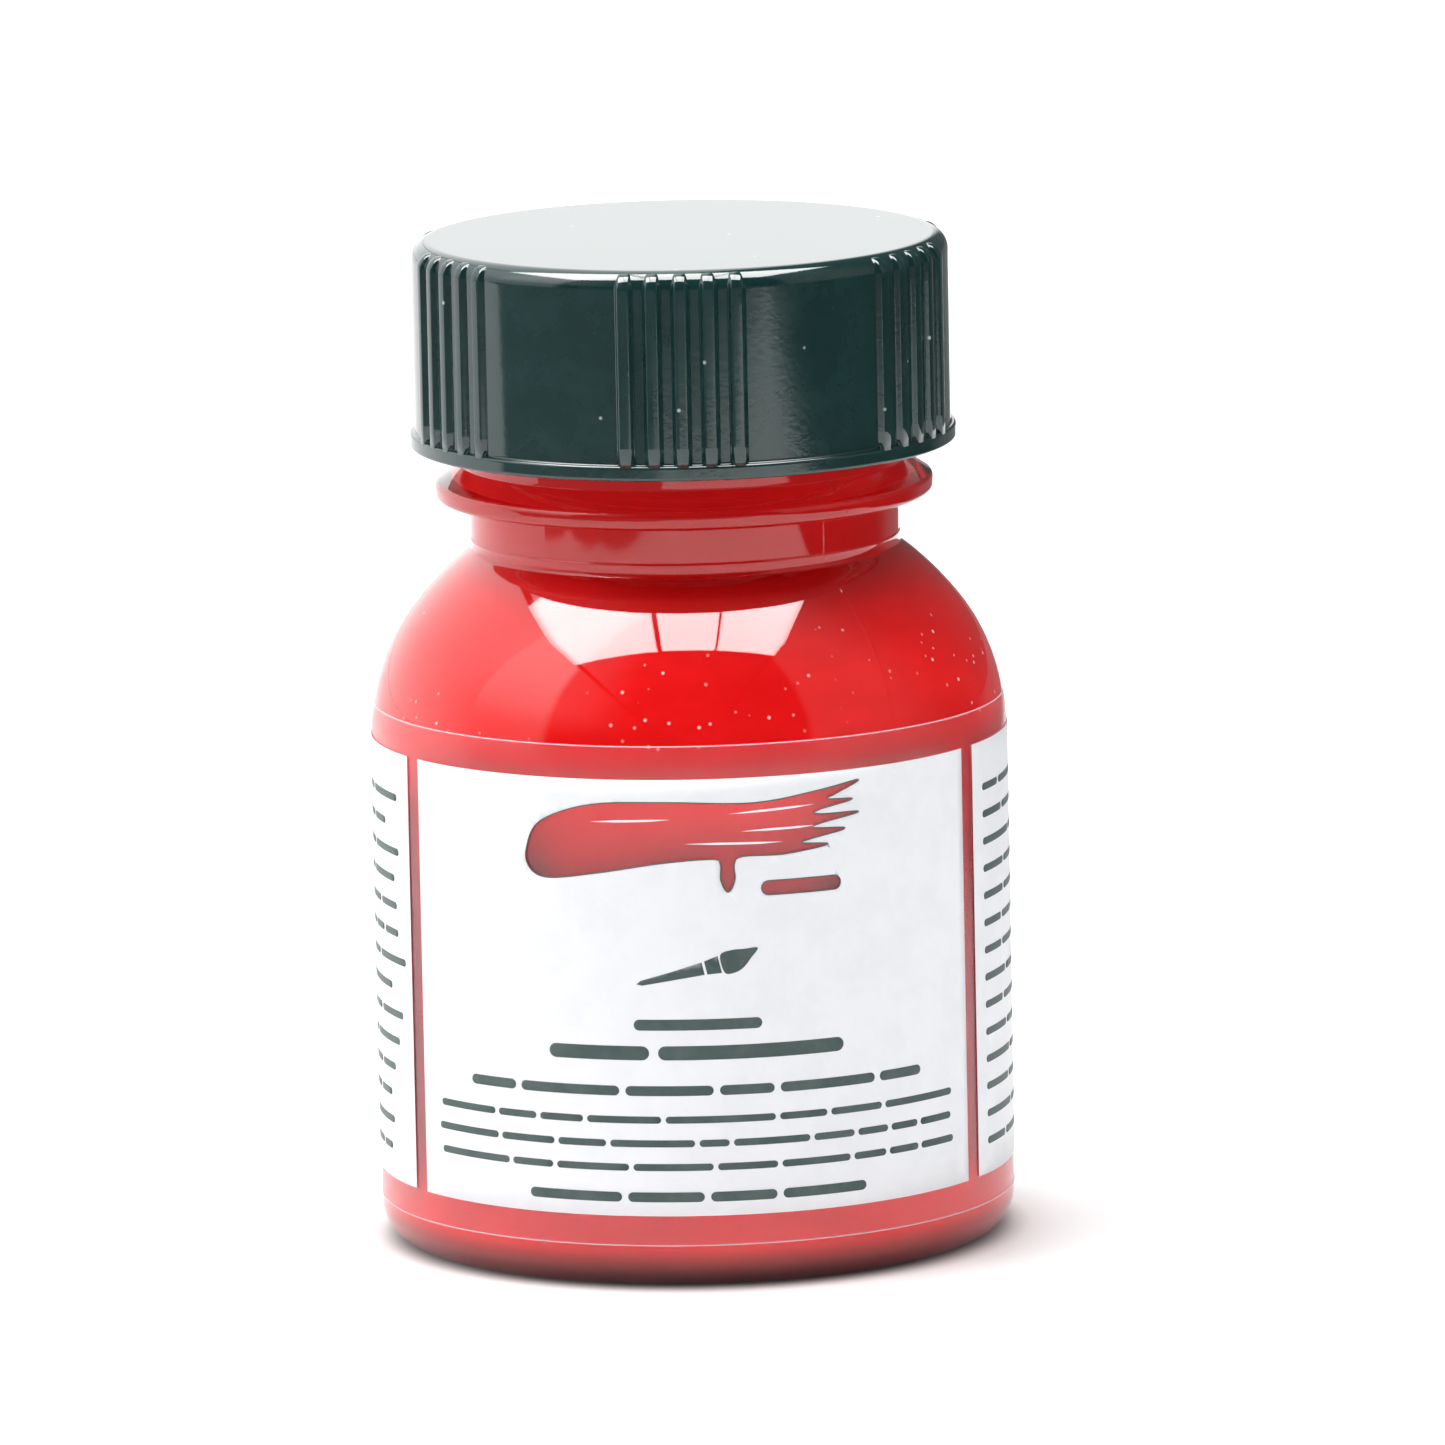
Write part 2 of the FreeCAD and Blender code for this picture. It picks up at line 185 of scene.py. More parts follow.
def all_round(count, finer=()):
    """Angles all the way round, with a few more crowded round the places that need them."""
    angles = {math.tau * index / count for index in range(count)}
    for place in finer:
        for step in (-0.6, -0.4, -0.25, -0.12, 0, 0.12, 0.25, 0.4, 0.6):
            angles.add((place + math.radians(step)) % math.tau)
    return sorted(angles)


def held(profile):
    """The profile with a point close to each end of every long run, so that its shading stays flat."""
    points = [profile[0]]
    for start, end in zip(profile, profile[1:]):
        length = math.dist(start, end)
        if length > 0.4:
            for part in (0.04 / length, 1 - 0.04 / length):
                points.append((start[0] + (end[0] - start[0]) * part,
                               start[1] + (end[1] - start[1]) * part))
        points.append(end)
    return points


def turned(name, profile, angles, push=None):
    """A closed turned shell, from a profile in millimetres that starts and ends on the axis."""
    points = []
    rings = []
    for radius, height in held(profile):
        if radius < 1e-6:
            rings.append([len(points)] * len(angles))
            points.append((0, 0, height * MM))
            continue
        ring = []
        for angle in angles:
            out = radius + (push(angle, radius, height) if push else 0)
            ring.append(len(points))
            points.append((out * math.cos(angle) * MM, out * math.sin(angle) * MM, height * MM))
        rings.append(ring)
    faces = []
    for lower, upper in zip(rings, rings[1:]):
        for this in range(len(angles)):
            following = (this + 1) % len(angles)
            corners = [lower[this], lower[following], upper[following], upper[this]]
            faces.append(list(dict.fromkeys(corners)))
    mesh = bpy.data.meshes.new(name)
    mesh.from_pydata(points, [], faces)
    return placed(name, mesh)


def placed(name, mesh):
    """Put a mesh in the scene as a smooth-shaded piece, standing where its points are."""
    mesh.polygons.foreach_set("use_smooth", [True] * len(mesh.polygons))
    mesh.update()
    piece = bpy.data.objects.new(name, mesh)
    bpy.context.scene.collection.objects.link(piece)
    return piece


def jar_relief(angle, radius, height):
    """The jar's raised detail: the screw thread, and the parting line up both sides."""
    relief = 0.0
    if radius < bore_radius + 0.01:
        return 0.0
    if height > bead_bottom + 2.2 and radius > bore_radius + 1:
        relief += thread_height * on_thread(angle, height, math.pi / 2, thread_start, thread_turns,
                                            2.3, 1.0)
    for side in (parting_angle, parting_angle + math.pi):
        away = abs((angle - side + math.pi) % math.tau - math.pi) * radius
        if height > heel_radius:
            relief += parting_height * math.exp(-(away / parting_width) ** 2)
    return relief


class Wire:
    """One output of a shader node. Arithmetic on it adds Math nodes."""

    def __init__(self, tree, socket):
        self.tree = tree
        self.socket = socket

    def maths(self, operation, *values):
        node = self.tree.nodes.new("ShaderNodeMath")
        node.operation = operation
        for slot, value in zip(node.inputs, values):
            feed(self.tree, slot, value)
        return Wire(self.tree, node.outputs[0])

    def __add__(self, other):
        return self.maths("ADD", self, other)

    def __radd__(self, other):
        return self.maths("ADD", other, self)

    def __sub__(self, other):
        return self.maths("SUBTRACT", self, other)

    def __rsub__(self, other):
        return self.maths("SUBTRACT", other, self)

    def __mul__(self, other):
        return self.maths("MULTIPLY", self, other)

    def __rmul__(self, other):
        return self.maths("MULTIPLY", other, self)

    def __truediv__(self, other):
        return self.maths("DIVIDE", self, other)

    def __neg__(self):
        return self.maths("MULTIPLY", self, -1)

    def __abs__(self):
        return self.maths("ABSOLUTE", self)


def feed(tree, slot, value):
    """Link a wire into a socket, or set the socket's own value."""
    if isinstance(value, Wire):
        tree.links.new(value.socket, slot)
    else:
        slot.default_value = value


class Finish:
    """The node tree of a material or of the surroundings."""

    def __init__(self, name, owner=None):
        self.owner = owner or bpy.data.materials.new(name)
        self.owner.use_nodes = True
        self.tree = self.owner.node_tree
        self.tree.nodes.clear()

    def node(self, kind, settings=None, inputs=None, output=0):
        """Add a node of a type, with its settings first and then its sockets' values or wires."""
        node = self.tree.nodes.new(kind)
        for setting, value in (settings or {}).items():
            setattr(node, setting, value)
        for socket, value in (inputs or {}).items():
            feed(self.tree, node.inputs[socket], value)
        return Wire(self.tree, node.outputs[output]) if node.outputs else None

    def place(self):
        """The piece's own coordinates, in metres."""
        return self.node("ShaderNodeTexCoord", output="Object")

    def axis(self, vector, letter):
        return self.node("ShaderNodeSeparateXYZ", {}, {"Vector": vector}, output=letter)

    def noise(self, scale, detail=3.0, vector=None, roughness=0.5):
        """Cloudy noise from 0 to 1; the scale is in features per metre."""
        return self.node("ShaderNodeTexNoise", {}, {
            "Vector": vector or self.place(), "Scale": scale, "Detail": detail,
            "Roughness": roughness})

    def between(self, value, low, high, to_low=0.0, to_high=1.0):
        """Ease from one value to another while a wire goes from low to high."""
        return self.node("ShaderNodeMapRange", {"interpolation_type": "SMOOTHSTEP"}, {
            "Value": value, "From Min": low, "From Max": high, "To Min": to_low, "To Max": to_high})

    def blend(self, factor, first, second):
        """Mix two colours."""
        return self.node("ShaderNodeMix", {"data_type": "RGBA"}, {
            0: factor, 6: first, 7: second}, output=2)

    def bump(self, height, strength, distance):
        return self.node("ShaderNodeBump", {}, {
            "Height": height, "Strength": strength, "Distance": distance})

    def surface(self, inputs):
        """Finish the material with one Principled shader."""
        shader = self.node("ShaderNodeBsdfPrincipled", {}, inputs)
        self.node("ShaderNodeOutputMaterial", {}, {"Surface": shader})
        return self.owner


def clear_plastic():
    """Clear moulded plastic: glossy, a little wavy, and satin where the label's film is bonded on."""
    finish = Finish("clear_plastic")
    place = finish.place()
    height = finish.axis(place, "Z")
    label_low, label_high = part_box("label")
    edge = 0.04 * MM
    under_label = (finish.between(height, label_low.z - edge, label_low.z + edge)
                   * finish.between(height, label_high.z - edge, label_high.z + edge, 1.0, 0.0))
    smears = finish.noise(210, 4.0, place)
    gloss = 0.025 + 0.03 * finish.between(smears, 0.5, 0.75)
    waves = finish.noise(95, 1.0, place)
    return finish.surface({
        "Base Color": (0.985, 0.99, 0.99, 1),
        "Transmission Weight": 1.0,
        "IOR": 1.6,
        "Roughness": gloss + 0.20 * under_label,
        "Normal": finish.bump(waves, 0.35, 0.05 * MM),
    })


inside_down = list(reversed(jar_inside(0.0, rim_height - 0.3)))
inner_rim = arc((bore_radius + 0.3, rim_height - 0.3), 0.3, 90, 180, 5)
jar = turned("clear_jar", jar_outside() + inner_rim[:-1] + inside_down,
             all_round(240, (parting_angle, parting_angle + math.pi)), jar_relief)
jar.data.materials.append(clear_plastic())
# The light that falls on the paint goes straight through the clear wall.
jar.visible_shadow = False
jar.visible_diffuse = False
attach(jar, "jar")
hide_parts("jar")


# ---------------------------------------------------------------- The paint
# Opaque red acrylic that wets the plastic: a still pool, and the uneven coat that shaking leaves
# up the shoulder and the neck. Small bubbles and specks sit between it and the wall.

paint_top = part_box("paint")[1].z / MM
paint_level = 34.95
coat_thickness = 0.3
wetting = 0.03
meniscus = 0.2


def coat_relief(angle, radius, height):
    """The coat's free side runs and sags a little; its wetted side follows the jar."""
    if radius > bore_radius and height < paint_level + 0.5:
        return 0.0
    if height > paint_level + 0.05 and radius < bore_radius:
        spot = Vector((math.cos(angle) * 3, math.sin(angle) * 3, height * 0.25))
        return -0.16 * max(noise.noise(spot), 0.0)
    return 0.0


def paint_profile():
    """Up the wetted side, over the coat's top edge, down its free side and in over the pool."""
    wet = jar_inside(wetting, paint_top)
    lip = arc((bore_radius - coat_thickness / 2, paint_top), (coat_thickness + wetting) / 2, 60, 180, 5)
    free = [point for point in reversed(jar_inside(-coat_thickness, paint_top))
            if point[1] > paint_level + meniscus]
    neck_part = rise(bore_radius - coat_thickness, paint_top, free[1][1], 0.6)[1:-1]
    edge_radius = (low_centre[0] + math.sqrt((low_arc_radius - wall - coat_thickness) ** 2
                                             - (paint_level + meniscus - shoulder_start) ** 2))
    curl = arc((edge_radius - meniscus, paint_level + meniscus), meniscus, 0, -90, 6)
    pool = [(edge_radius - meniscus - step, paint_level) for step in (2, 5, 8, 11)]
    return wet + lip + neck_part + free[1:] + curl + pool + [(0, paint_level)]


def red_paint():
    """Deep red with faint streaks and pale bubbles, with painted shade at the foot and up the neck."""
    finish = Finish("red_paint")
    place = finish.place()
    stretched = finish.node("ShaderNodeMapping", {}, {"Vector": place, "Scale": (1, 1, 2.4)})
    streaks = finish.noise(150, 5.0, stretched, 0.6)
    clouds = finish.noise(48, 2.0, place)
    tone = finish.between(streaks * 0.55 + clouds * 0.45, 0.38, 0.66)
    height = finish.axis(place, "Z")
    red = finish.blend(tone, (0.70, 0.0045, 0.0052, 1), (0.84, 0.0085, 0.0095, 1))
    # Painted shade: the red is darkened up the neck, in the cap's shadow, and at the foot, in the floor's
    # contact shade.
    painted_neck_shade = finish.between(height, 35.5 * MM, 40.3 * MM, 0.0, 0.5)
    painted_foot_shade = finish.between(height, 0.7 * MM, 2.4 * MM, 0.85, 0.0)
    red = finish.blend(painted_neck_shade, red, (0.34, 0.002, 0.002, 1))
    red = finish.blend(painted_foot_shade, red, (0.05, 0.001, 0.001, 1))
    cells = finish.node("ShaderNodeTexVoronoi", {"feature": "F1"}, {
        "Vector": place, "Scale": 1500.0, "Randomness": 1.0})
    rare = finish.node("ShaderNodeTexVoronoi", {"feature": "F1"}, {
        "Vector": place, "Scale": 1500.0, "Randomness": 1.0}, output="Color")
    chosen = (finish.between(finish.axis(rare, "X"), 0.35, 0.37)
              * finish.between(finish.noise(130, 2.0, place), 0.45, 0.6))
    zone = (finish.between(height, 29.5 * MM, 31 * MM)
            * finish.between(height, 34.5 * MM, 37.5 * MM, 1.0, 0.0))
    speck = finish.between(cells, 0.07, 0.2, 1.0, 0.0) * chosen * zone
    colour = finish.blend(speck * 0.9, red, (0.97, 0.72, 0.68, 1))
    return finish.surface({
        "Base Color": colour,
        "Roughness": 0.35 + 0.1 * clouds,
        "Specular IOR Level": 0.02,
        "Normal": finish.bump(streaks, 0.25, 0.03 * MM),
    })


paint = turned("paint_fill", paint_profile(), all_round(192), coat_relief)
paint.data.materials.append(red_paint())
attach(paint, "jar")
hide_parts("paint")


# ---------------------------------------------------------------- The label's film
# One strip of clear satin film, wrapped round the wall and up onto the start of the shoulder, with
# its two ends a little apart at the back. A highlight is painted along its top and bottom edges.

label_low, label_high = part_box("label")
label_bottom = label_low.z / MM
label_top = label_high.z / MM
film_thickness = 0.05
half_wrap = math.radians(176)


def wall_radius(height):
    """The jar's outer radius over the height that the label covers."""
    if height <= shoulder_start:
        return body_radius
    return low_centre[0] + math.sqrt(low_arc_radius ** 2 - (height - shoulder_start) ** 2)


def on_wall(across, height, lift):
    """A place on the jar's wall, from the distance round it from the front and the height."""
    angle = across / body_radius
    radius = wall_radius(height) + lift
    return Vector((radius * math.sin(angle), -radius * math.cos(angle), height)) * MM


def film_strip():
    """The film as a slim closed strip with rounded top and bottom edges."""
    half_width = half_wrap * body_radius
    columns = 240
    heights = [label_bottom, label_bottom + 0.03]
    heights += [label_bottom + 1 + (shoulder_start - label_bottom - 1) * step / 8 for step in range(9)]
    heights += [shoulder_start + (label_top - 0.03 - shoulder_start) * step / 8 for step in range(1, 9)]
    heights += [label_top]
    near = 0.006
    section = [(heights[0], film_thickness * 0.5)]
    section += [(height, film_thickness) for height in heights[1:-1]]
    section += [(heights[-1], film_thickness * 0.5)]
    section += [(height, near) for height in reversed(heights)]
    points = []
    for column in range(columns + 1):
        across = -half_width + 2 * half_width * column / columns
        points += [on_wall(across, height, lift) for height, lift in section]
    count = len(section)
    faces = []
    for column in range(columns):
        for this in range(count):
            following = (this + 1) % count
            left = column * count
            right = left + count
            faces.append((left + this, right + this, right + following, left + following))
    faces.append(tuple(range(count)))
    faces.append(tuple(reversed(range(columns * count, (columns + 1) * count))))
    mesh = bpy.data.meshes.new("label_film")
    mesh.from_pydata(points, [], faces)
    return placed("label_film", mesh)


def label_film():
    """Clear film: nearly see-through, a little milky, with a painted highlight along its top and bottom
    edges, and faint scuffs.
    """
    finish = Finish("label_film")
    place = finish.place()
    height = finish.axis(place, "Z")
    edge = 0.09 * MM
    # Painted highlight: the film is made paler and less clear in a narrow band along its top and bottom
    # edges.
    painted_edge_glint = (finish.between(height, label_high.z - edge, label_high.z - edge * 0.4)
           + finish.between(height, label_low.z + edge * 0.4, label_low.z + edge, 1.0, 0.0))
    scuffs = finish.between(finish.noise(700, 5.0, place, 0.7), 0.6, 0.78)
    return finish.surface({
        "Base Color": (0.86, 0.90, 1.0, 1),
        "Roughness": 0.3 + 0.1 * scuffs,
        "Specular IOR Level": 0.1,
        "Alpha": 0.018 + 0.02 * scuffs + 0.30 * painted_edge_glint,
        "Normal": finish.bump(finish.noise(1900, 2.0, place), 0.08, 0.01 * MM),
    })


film = film_strip()
film.data.materials.append(label_film())
film.visible_shadow = False
film.visible_diffuse = False
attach(film, "jar")
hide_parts("label")


# ---------------------------------------------------------------- The label's white ink
# Three panels of opaque white ink printed on the film, with bare film between and round them. A
# brush stroke with one drip is left out of the front panel's white, so that the paint shows.

panel_bottom = 4.27
panel_top = 29.03
front_panel_half = math.radians(57.7)
side_panel_start = math.radians(61.5)
side_panel_end = math.radians(171)
ink_thickness = 0.008
ink_lift = film_thickness + 0.006

stroke_edge = [
    (-9.6, 24.9), (-8.7, 26.5), (-5.6, 27.6), (-1.2, 27.75), (3.6, 27.6), (7.4, 28.05), (9.9, 28.4),
    (8.4, 27.75), (7.9, 27.5), (9.5, 27.35), (7.4, 26.95), (7.3, 26.7), (9.9, 26.6), (7.6, 26.2),
    (7.0, 25.95), (9.0, 25.75), (6.9, 25.35), (6.3, 25.15), (7.9, 24.95), (5.2, 24.6),
    (2.9, 24.6), (2.4, 24.2), (2.42, 23.3), (2.02, 22.6), (1.62, 23.3), (1.62, 24.2), (1.1, 24.5),
    (-1.8, 24.3), (-5.2, 23.75), (-8.2, 23.35), (-9.4, 23.8),
]
# Middle, length and slant of the dry streaks in the stroke.
dry_streaks = [(4.6, 27.15, 5.0, 3), (5.0, 26.05, 4.4, 1), (2.4, 25.35, 5.6, -1), (-3.4, 26.7, 4.6, 2)]


def rounded_bar(left, right, low, high):
    """The edge of a bar with round ends."""
    radius = (high - low) / 2
    middle = (low + high) / 2
    return (arc((right - radius, middle), radius, -90, 90, 8)
            + arc((left + radius, middle), radius, 90, 270, 8))


def set_down(edge, middle, slant):
    """An edge drawn about the origin, turned by a slant in degrees and moved to its place."""
    turn = Matrix.Rotation(math.radians(slant), 2)
    return [tuple(turn @ Vector(point) + Vector(middle)) for point in edge]


def streak(length):
    """A sliver with pointed ends."""
    return [(-length / 2, 0), (-length / 6, -0.06), (length / 4, -0.07), (length / 2, 0),
            (length / 4, 0.05), (-length / 6, 0.07)]


def block(left, right, low, high):
    return [(left, low), (right, low), (right, high), (left, high)]


def smooth_edge(corners, steps=6):
    """A smooth closed edge through a few corners."""
    edge = []
    count = len(corners)
    for index in range(count):
        before, start, end, after = (Vector(corners[(index + shift) % count]) for shift in (-1, 0, 1, 2))
        for step in range(steps):
            t = step / steps
            edge.append(tuple(0.5 * (2 * start + (end - before) * t
                                     + (2 * before - 5 * start + 4 * end - after) * t ** 2
                                     + (3 * start - before - 3 * end + after) * t ** 3)))
    return edge


def printed(name, edges, lift, thickness=ink_thickness):
    """A film of ink bent round the wall, from flat edges: an edge inside another is a hole."""
    curve = bpy.data.curves.new(name, "CURVE")
    curve.dimensions = "2D"
    curve.fill_mode = "FRONT"
    for edge in edges:
        spline = curve.splines.new("POLY")
        spline.points.add(len(edge) - 1)
        for point, (across, height) in zip(spline.points, edge):
            point.co = (across, height, 0, 1)
        spline.use_cyclic_u = True
    flat = bpy.data.objects.new(name + "_flat", curve)
    bpy.context.scene.collection.objects.link(flat)
    bpy.context.view_layer.update()
    mesh = bpy.data.meshes.new_from_object(flat.evaluated_get(bpy.context.evaluated_depsgraph_get()))
    bpy.data.objects.remove(flat)
    work = bmesh.new()
    work.from_mesh(mesh)
    reach = max(abs(vertex.co.x) for vertex in work.verts)
    pitch = math.radians(2) * body_radius
    for step in range(-int(reach / pitch), int(reach / pitch) + 1):
        everything = work.verts[:] + work.edges[:] + work.faces[:]
        bmesh.ops.bisect_plane(work, geom=everything, dist=1e-5, plane_co=(step * pitch, 0, 0),
                               plane_no=(1, 0, 0))
    row = 2.0
    weld = 0.002
    lowest = min(vertex.co.y for vertex in work.verts)
    highest = max(vertex.co.y for vertex in work.verts)
    for step in range(int(lowest / row) + 1, int(highest / row) + 1):
        everything = work.verts[:] + work.edges[:] + work.faces[:]
        bmesh.ops.bisect_plane(work, geom=everything, dist=1e-5, plane_co=(0, step * row, 0),
                               plane_no=(0, 1, 0))
    bmesh.ops.remove_doubles(work, verts=work.verts[:], dist=weld)
    bmesh.ops.triangulate(work, faces=work.faces[:])
    for vertex in work.verts:
        vertex.co = on_wall(vertex.co.x, vertex.co.y, lift)
    work.to_mesh(mesh)
    work.free()
    mesh.name = name
    piece = placed(name, mesh)
    layer = piece.modifiers.new("thickness", "SOLIDIFY")
    layer.thickness = thickness * MM
    layer.offset = 1
    layer.use_even_offset = False
    return piece


def ink(name, colour, mottle, roughness):
    """Printing ink: nearly even, with the faint mottle and grain of ink on film."""
    finish = Finish(name)
    place = finish.place()
    cloud = finish.between(finish.noise(420, 4.0, place, 0.65), 0.35, 0.7)
    shade = finish.blend(cloud, colour, mottle)
    grain = finish.noise(5200, 2.0, place)
    return finish.surface({
        "Base Color": shade,
        "Roughness": roughness + 0.08 * cloud,
        "Specular IOR Level": 0.45,
        "Normal": finish.bump(grain, 0.12, 0.01 * MM),
    })


front_half = front_panel_half * body_radius
side_start = side_panel_start * body_radius
side_end = side_panel_end * body_radius
brush_stroke = smooth_edge(stroke_edge)
small_bar = rounded_bar(3.9, 8.6, 22.35, 23.15)
streaks = [set_down(streak(length), (across, height), slant)
           for across, height, length, slant in dry_streaks]
white_panels = printed("white_ink", [
    block(-front_half, front_half, panel_bottom, panel_top),
    brush_stroke,
    *streaks,
    small_bar,
    block(-side_end, -side_start, panel_bottom, panel_top),
    block(side_start, side_end, panel_bottom, panel_top),
], ink_lift)
white_panels.data.materials.append(
    ink("white_ink", (0.83, 0.84, 0.87, 1), (0.795, 0.805, 0.835, 1), 0.42))
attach(white_panels, "jar")
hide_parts("label")


# ---------------------------------------------------------------- The label's dark print
# Dark green-grey ink over the white: a small paint brush, and blank bars where the product's
# wording would be, set as words in rows. A fine dark line in the same ink follows the edge of the
# brush stroke and of the small bar.

print_lift = ink_lift + ink_thickness + 0.004
draw = random.Random(7)

# Middle height, bar height, left, right and number of words of each row on the front panel.
front_rows = [
    (15.15, 0.62, -3.4, 3.8, 1),
    (13.55, 0.80, -8.4, 8.6, 2),
    (11.40, 0.56, -13.8, 13.9, 6),
    (9.75, 0.40, -16.4, 16.5, 8),
    (8.40, 0.40, -16.6, 16.4, 10),
    (7.05, 0.40, -16.4, 16.6, 9),
    (5.35, 0.56, -9.8, 9.9, 4),
]
side_row_count = 14
side_row_top = 26.4
side_row_pitch = 1.56
side_text_start = math.radians(65.5) * body_radius
side_text_end = math.radians(164) * body_radius

brush_middle = (0.2, 18.25)
brush_slant = 13
handle_edge = [(-3.5, 0.0), (-3.2, 0.14), (-1.1, 0.26), (0.35, 0.36), (0.35, -0.36), (-1.1, -0.26),
               (-3.2, -0.14)]
ferrule_edge = [(0.5, -0.38), (1.3, -0.5), (1.3, 0.5), (0.5, 0.38)]
tuft_edge = [(1.45, -0.5), (1.9, -0.68), (2.5, -0.55), (3.1, -0.1), (3.6, 0.35), (2.8, 0.5),
             (2.1, 0.62), (1.45, 0.5)]


def row_of_words(middle, height, left, right, words):
    """Bars as long as words, which fill a row between its two ends."""
    gap = height * 0.62
    shares = [draw.uniform(0.5, 1.6) for _ in range(words)]
    room = (right - left) - gap * (words - 1)
    bars = []
    start = left
    for share in shares:
        width = room * share / sum(shares)
        bars.append(rounded_bar(start, start + width, middle - height / 2, middle + height / 2))
        start += width + gap
    return bars


def dark_edge_line(edge, width):
    """A fine line that follows a closed edge, as an outer and an inner edge; it thins at sharp tips."""
    lines = ([], [])
    count = len(edge)
    for index in range(count):
        before = Vector(edge[index - 1])
        here = Vector(edge[index])
        after = Vector(edge[(index + 1) % count])
        straight = (after - before).length / ((here - before).length + (after - here).length)
        along = (after - before).normalized()
        side = Vector((along.y, -along.x)) * width / 2 * straight ** 6
        lines[0].append(tuple(here + side))
        lines[1].append(tuple(here - side))
    return list(lines)


bars = []
for row in front_rows:
    bars += row_of_words(*row)
for index in range(side_row_count):
    middle = side_row_top - index * side_row_pitch
    ragged = draw.uniform(0.0, 3.0)
    bars += row_of_words(middle, 0.42, side_text_start, side_text_end - ragged, 8)
    ragged = draw.uniform(0.0, 3.0)
    bars += row_of_words(middle, 0.42, -side_text_end, -side_text_start + 0.6 - ragged, 8)
brush_sign = [set_down(edge, brush_middle, brush_slant)
              for edge in (handle_edge, ferrule_edge, smooth_edge(tuft_edge, 4))]
dark_print = printed("dark_print", bars + brush_sign + dark_edge_line(brush_stroke, 0.07)
                     + dark_edge_line(small_bar, 0.06), print_lift, 0.006)
dark_print.data.materials.append(
    ink("dark_ink", (0.045, 0.075, 0.07, 1), (0.075, 0.105, 0.10, 1), 0.45))
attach(dark_print, "jar")
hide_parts("label")


# ---------------------------------------------------------------- The cap
# One dark green-black plastic moulding: a turned shell with a rounded top edge and a flange at its
# mouth, an inner thread, and six groups of five grip ribs that fade out over the top edge.

cap_low, cap_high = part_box("cap")
cap_top = cap_high.z / MM
cap_bottom = cap_low.z / MM
cap_radius = 15.17
cap_inner_radius = 13.95
cap_edge_radius = 1.0
liner_low, liner_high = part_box("cap_liner")
cap_underside = liner_high.z / MM
flange_radius = 15.45
flange_top = 46.25
cap_thread_height = 1.05
cap_thread_start = 47.567
cap_thread_turns = 1.1
rib_groups = 6
ribs_in_group = 5
rib_spacing = math.radians(6)
rib_height = 0.28
rib_half_base = 0.475
rib_half_crest = 0.30
rib_end_radius = 0.6


def cap_profile():
    """From the middle of the cap's top, over its edge, down the outside and up the inside."""
    soft = 0.15
    crook = 0.1
    top = [(across, cap_top) for across in (0, 4, 8, 11, 13)]
    edge = arc((cap_radius - cap_edge_radius, cap_top - cap_edge_radius), cap_edge_radius, 90, 0, 14)
    side = rise(cap_radius, cap_top - cap_edge_radius, flange_top + crook, 1.0)[1:-1]
    foot = arc((cap_radius + crook, flange_top + crook), crook, 180, 270, 4)
    flange = (arc((flange_radius - soft, flange_top - soft), soft, 90, 0, 5)
              + arc((flange_radius - soft, cap_bottom + soft), soft, 0, -90, 5))
    mouth = arc((cap_inner_radius + soft, cap_bottom + soft), soft, 270, 180, 5)
    bore = rise(cap_inner_radius, cap_bottom + soft, cap_underside - 0.05, 0.1)[1:]
    inside = [(cap_inner_radius - 0.05, cap_underside), (9, cap_underside), (4, cap_underside)]
    return top + edge + side + foot + flange + mouth + bore + inside + [(0, cap_underside)]


def cap_relief(angle, radius, height):
    """The inner thread, which stands in from the wall."""
    if radius > cap_inner_radius + 0.01 or height > cap_underside - 0.1:
        return 0.0
    return -cap_thread_height * on_thread(angle, height, -math.pi / 2, cap_thread_start,
                                          cap_thread_turns, 2.0, 0.8)


def grip_rib():
    """One rib at the front: a rounded section swept up the wall and bent in over the top edge."""
    crest = []
    for side, turn in ((-1, 1), (1, -1)):
        foot = [(side * (rib_half_base + 0.10), -0.03), (side * (rib_half_base + 0.02), 0.015),
                (side * (rib_half_base - 0.05), 0.09), (side * (rib_half_crest + 0.045), 0.22),
                (side * (rib_half_crest - 0.01), 0.265), (side * (rib_half_crest - 0.08), rib_height)]
        crest += foot if side < 0 else list(reversed(foot))
    crest.insert(len(crest) // 2, (0, rib_height + 0.01))
    bend_height = cap_top - cap_edge_radius
    path = [(cap_radius, height, 0.0) for height in (flange_top - 0.1, flange_top + 1, bend_height - 1)]
    for step in range(13):
        angle = math.radians(85) * step / 12
        path.append((cap_radius - rib_end_radius + rib_end_radius * math.cos(angle),
                     bend_height + rib_end_radius * math.sin(angle), angle))
    points = []
    for radius, height, lean in path:
        for across, out in crest:
            points.append((across * MM, -(radius + out * math.cos(lean)) * MM,
                           (height + out * math.sin(lean)) * MM))
    count = len(crest)
    faces = [tuple(range(count)), tuple(reversed(range(len(points) - count, len(points))))]
    for level in range(len(path) - 1):
        for this in range(count):
            following = (this + 1) % count
            low = level * count
            high = low + count
            faces.append((low + this, high + this, high + following, low + following))
    mesh = bpy.data.meshes.new("grip_rib")
    mesh.from_pydata(points, [], faces)
    work = bmesh.new()
    work.from_mesh(mesh)
    bmesh.ops.recalc_face_normals(work, faces=work.faces[:])
    work.to_mesh(mesh)
    work.free()
    return placed("grip_rib", mesh)


